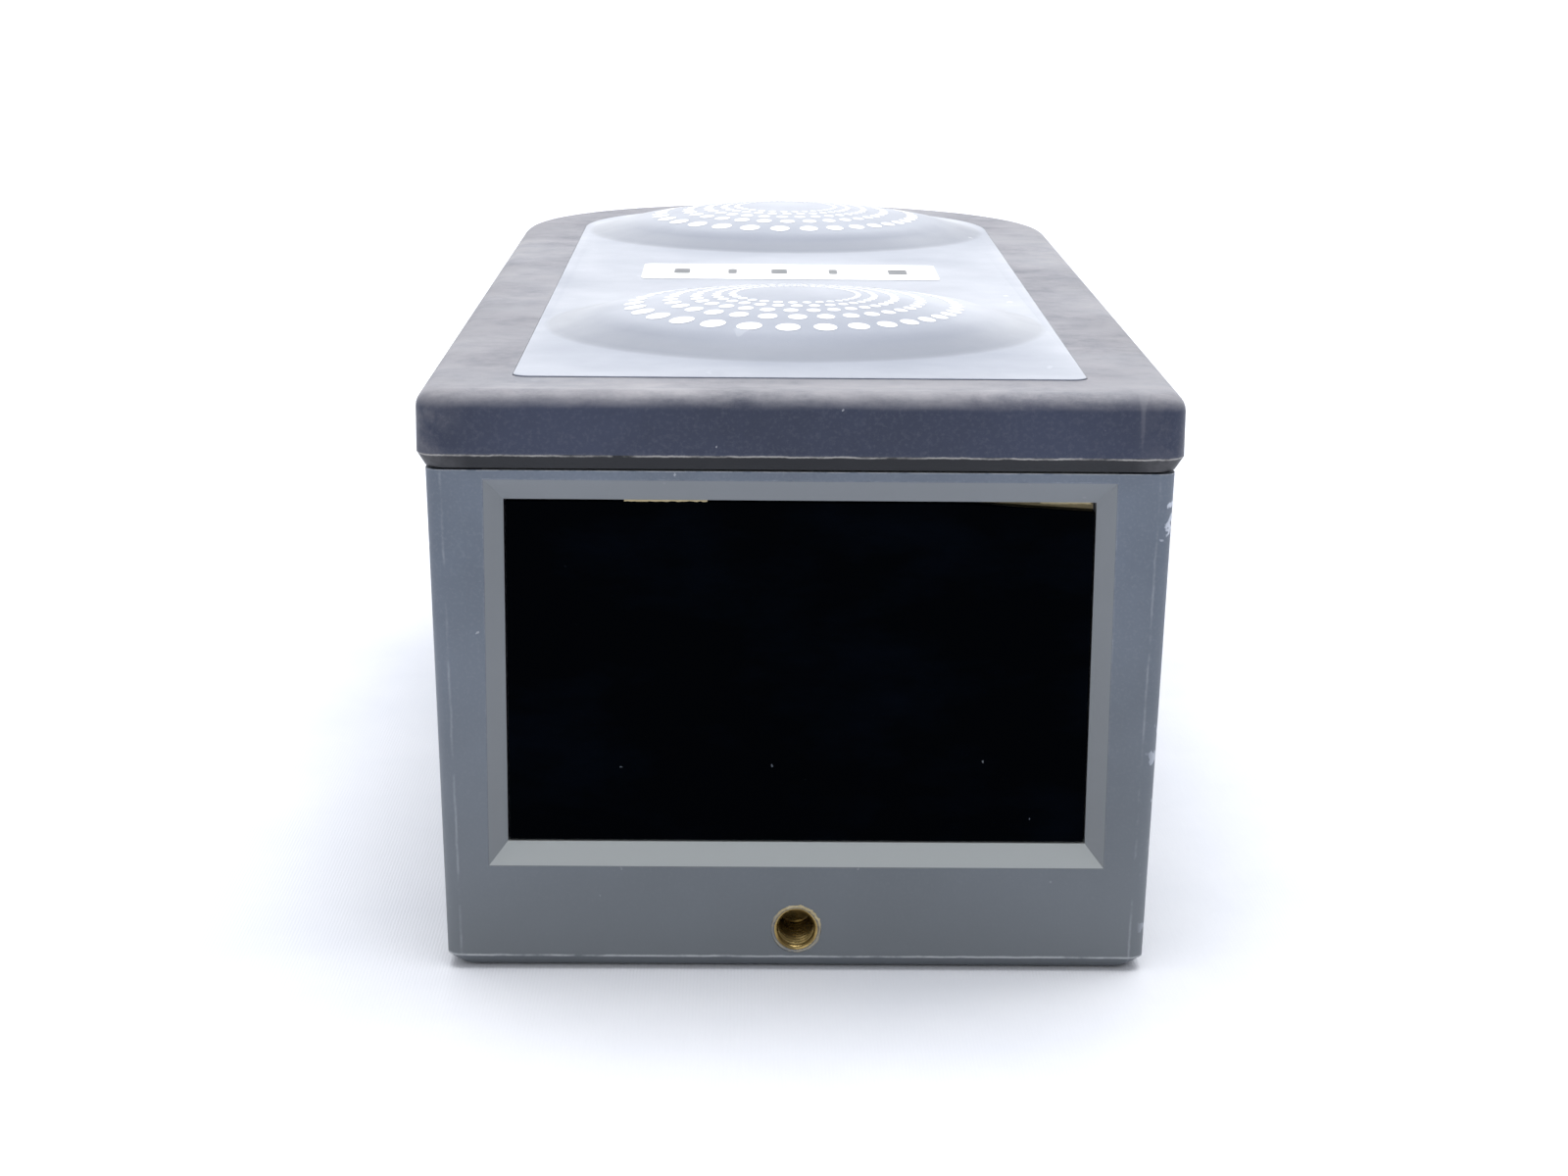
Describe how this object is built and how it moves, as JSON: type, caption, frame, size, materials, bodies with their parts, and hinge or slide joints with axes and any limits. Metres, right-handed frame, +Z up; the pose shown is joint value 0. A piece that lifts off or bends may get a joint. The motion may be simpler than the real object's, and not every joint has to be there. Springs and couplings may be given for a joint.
{
  "type": "optical sensor unit",
  "caption": "Moulded box with a half-round back, dark infrared window, skirted lid with raised domes, lens pair and lights inside, and a brass threaded insert for mounting.",
  "frame": {"origin": "under the middle of the unit's outline, on the surface it stands on", "axes": "+Z up, window faces -Y, +X to the right seen from the window side"},
  "size_m": [0.165, 0.404, 0.1395],
  "materials": {
    "housing": "blue-grey paint on a moulded case, satin, worn pale along its edges",
    "lid": "dark slate-blue moulding, satin, dusty and scuffed grey along its top edge",
    "panel": "silver-grey formed sheet, satin",
    "white_print": "white printed dots and blank label",
    "dark_glass": "opaque black polished sheet that passes infrared only",
    "adhesive": "aged cream foam adhesive",
    "rubber": "black moulded rubber",
    "brass": "turned brass, slightly tarnished",
    "steel": "bright machine screws",
    "aluminium": "bare bent and milled aluminium",
    "black_metal": "black anodised and powder-coated metal",
    "black_plastic": "black moulded plastic",
    "grey_plastic": "mid grey moulded plastic",
    "circuit": "green solder mask over glass-fibre board",
    "lens": "coated optical glass",
    "clear_plastic": "clear moulded acrylic",
    "cell": "blue shrink sleeve over cells",
    "webbing": "woven nylon band",
    "cable": "grey cable insulation"
  },
  "bodies": {
    "housing": {"body_shell": "housing", "lid_shell": "lid", "top_panel": "panel", "window_pane": "dark_glass", "window_seal": "adhesive", "lid_gasket": "rubber", "rear_gasket": "rubber", "foot_pad_1": "rubber", "foot_pad_2": "rubber", "foot_pad_3": "rubber", "foot_pad_4": "rubber", "mount_insert": "brass", "standoff_1": "brass", "standoff_2": "brass", "standoff_3": "brass", "standoff_4": "brass", "lid_screw_left_1": "steel", "lid_screw_left_2": "steel", "lid_screw_left_3": "steel", "lid_screw_right_1": "steel", "lid_screw_right_2": "steel", "lid_screw_right_3": "steel", "rear_screw_1": "steel", "rear_screw_2": "steel", "rear_screw_3": "steel", "rear_screw_4": "steel", "inlet_nut": "steel", "chassis_plate": "aluminium", "sensor_bracket": "aluminium", "led_heatsink": "aluminium", "processor_heatsink": "aluminium", "battery_tray": "aluminium", "rear_plate": "black_metal", "lens_mount_left": "black_metal", "lens_barrel_left": "black_metal", "lens_mount_right": "black_metal", "lens_barrel_right": "black_metal", "inlet_socket": "black_plastic", "rocker_bezel": "black_plastic", "light_baffle": "black_plastic", "vent_plug": "grey_plastic", "camera_board_left": "circuit", "camera_board_right": "circuit", "led_board": "circuit", "main_board": "circuit", "power_board": "circuit", "led_lens_strip": "clear_plastic", "battery_pack": "cell", "battery_strap": "webbing", "ribbon_cable_left": "cable", "ribbon_cable_right": "cable", "power_harness": "cable"},
    "power_rocker": {"power_rocker": "grey_plastic"},
    "focus_ring_left": {"focus_ring_left": "black_plastic"},
    "lens_cell_left": {"lens_cell_left": "black_metal", "lens_glass_left": "lens"},
    "focus_ring_right": {"focus_ring_right": "black_plastic"},
    "lens_cell_right": {"lens_cell_right": "black_metal", "lens_glass_right": "lens"}
  },
  "joints": [
    {"name": "rocker_tilt", "type": "hinge", "parent": "housing", "child": "power_rocker", "pos_m": [0.015, 0.1915, 0.046], "axis": [1, 0, 0], "range_deg": [-9, 9]},
    {"name": "focus_turn_left", "type": "hinge", "parent": "housing", "child": "focus_ring_left", "pos_m": [-0.036, -0.161, 0.064], "axis": [0, 1, 0], "range_deg": [0, 150]},
    {"name": "lens_travel_left", "type": "slide", "parent": "housing", "child": "lens_cell_left", "axis": [0, -1, 0], "range_m": [0, 0.002]},
    {"name": "focus_turn_right", "type": "hinge", "parent": "housing", "child": "focus_ring_right", "pos_m": [0.036, -0.161, 0.064], "axis": [0, 1, 0], "range_deg": [0, 150]},
    {"name": "lens_travel_right", "type": "slide", "parent": "housing", "child": "lens_cell_right", "axis": [0, -1, 0], "range_m": [0, 0.002]}
  ],
  "couplings": [
    {"joint": "focus_turn_left", "follows": "lens_travel_left", "rad_per_m": 1309},
    {"joint": "focus_turn_right", "follows": "lens_travel_right", "rad_per_m": 1309}
  ]
}
